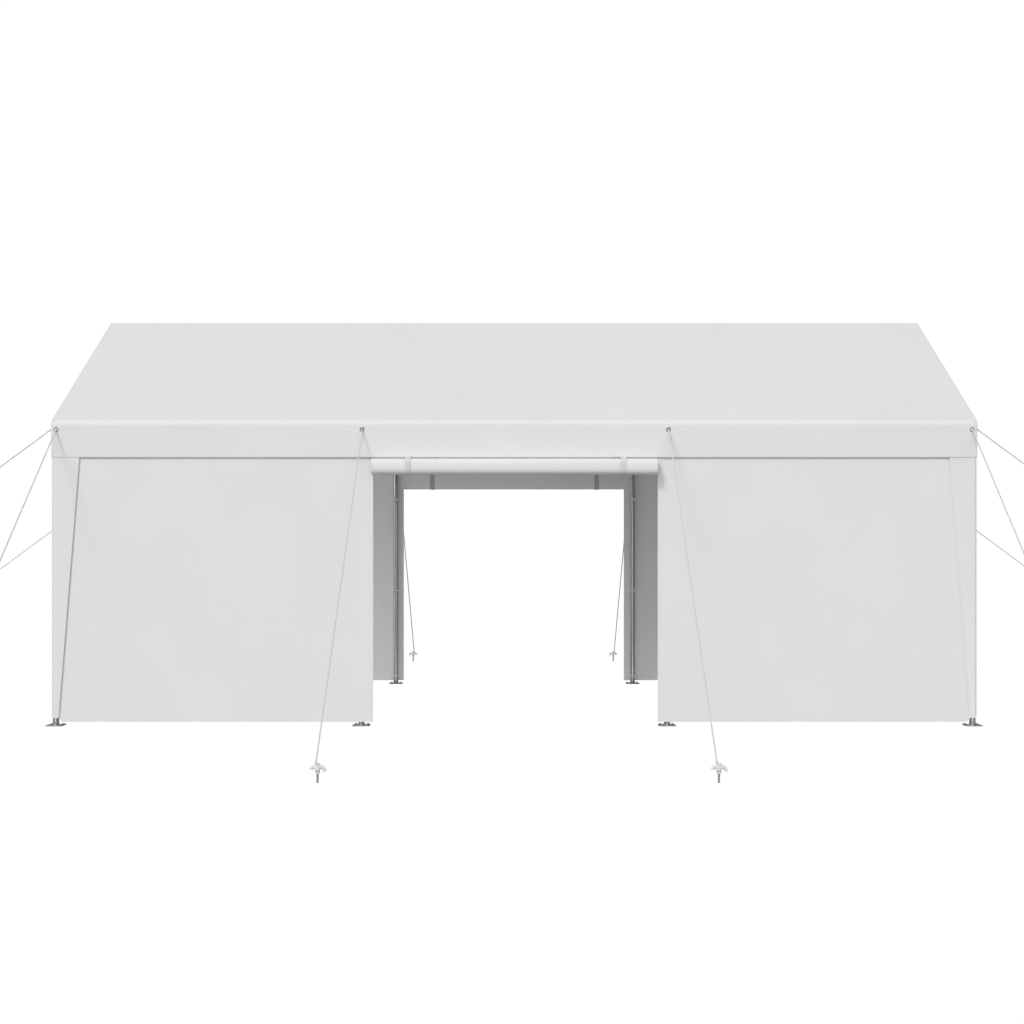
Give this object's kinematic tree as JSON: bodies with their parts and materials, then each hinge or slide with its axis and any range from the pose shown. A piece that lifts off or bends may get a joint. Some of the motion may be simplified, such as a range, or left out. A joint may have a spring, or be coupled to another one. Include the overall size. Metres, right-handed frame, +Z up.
{
  "type": "portable carport",
  "caption": "3 x 6 m portable carport: steel tube frame, white tarp roof and walls, rolled-up doorway panels on both long sides, twelve guy lines on stakes",
  "frame": {"origin": "centre of the footprint at ground level", "axes": "+Z up, +X along the ridge, -Y the long side that the picture shows"},
  "size_m": [11.078, 7.878, 2.8408],
  "materials": {
    "roof_tarp": "white coated woven tarp, satin",
    "wall_tarp": "white coated woven tarp, satin",
    "frame_tube": "galvanised steel tube",
    "foot_plate": "dull galvanised steel plate",
    "guy_rope": "off-white braided rope on a steel stake with a pale plastic head"
  },
  "bodies": {
    "root": {"roof_cover": "roof_tarp", "front_wall_left": "wall_tarp", "front_wall_right": "wall_tarp", "front_wall_roll": "wall_tarp", "rear_wall_left": "wall_tarp", "rear_wall_right": "wall_tarp", "rear_wall_roll": "wall_tarp", "end_wall_left": "wall_tarp", "end_wall_right": "wall_tarp", "ridge_rail": "frame_tube", "eave_rail_front": "frame_tube", "rafter_front_1": "frame_tube", "rafter_front_2": "frame_tube", "rafter_front_3": "frame_tube", "rafter_front_4": "frame_tube", "leg_front_1": "frame_tube", "leg_front_2": "frame_tube", "leg_front_3": "frame_tube", "leg_front_4": "frame_tube", "foot_front_1": "foot_plate", "foot_front_2": "foot_plate", "foot_front_3": "foot_plate", "foot_front_4": "foot_plate", "eave_rail_rear": "frame_tube", "rafter_rear_1": "frame_tube", "rafter_rear_2": "frame_tube", "rafter_rear_3": "frame_tube", "rafter_rear_4": "frame_tube", "leg_rear_1": "frame_tube", "leg_rear_2": "frame_tube", "leg_rear_3": "frame_tube", "leg_rear_4": "frame_tube", "foot_rear_1": "foot_plate", "foot_rear_2": "foot_plate", "foot_rear_3": "foot_plate", "foot_rear_4": "foot_plate", "guy_line_front_1": "guy_rope", "guy_line_front_2": "guy_rope", "guy_line_front_3": "guy_rope", "guy_line_front_4": "guy_rope", "guy_line_rear_1": "guy_rope", "guy_line_rear_2": "guy_rope", "guy_line_rear_3": "guy_rope", "guy_line_rear_4": "guy_rope", "guy_line_left_front": "guy_rope", "guy_line_left_rear": "guy_rope", "guy_line_right_front": "guy_rope", "guy_line_right_rear": "guy_rope"}
  },
  "joints": []
}
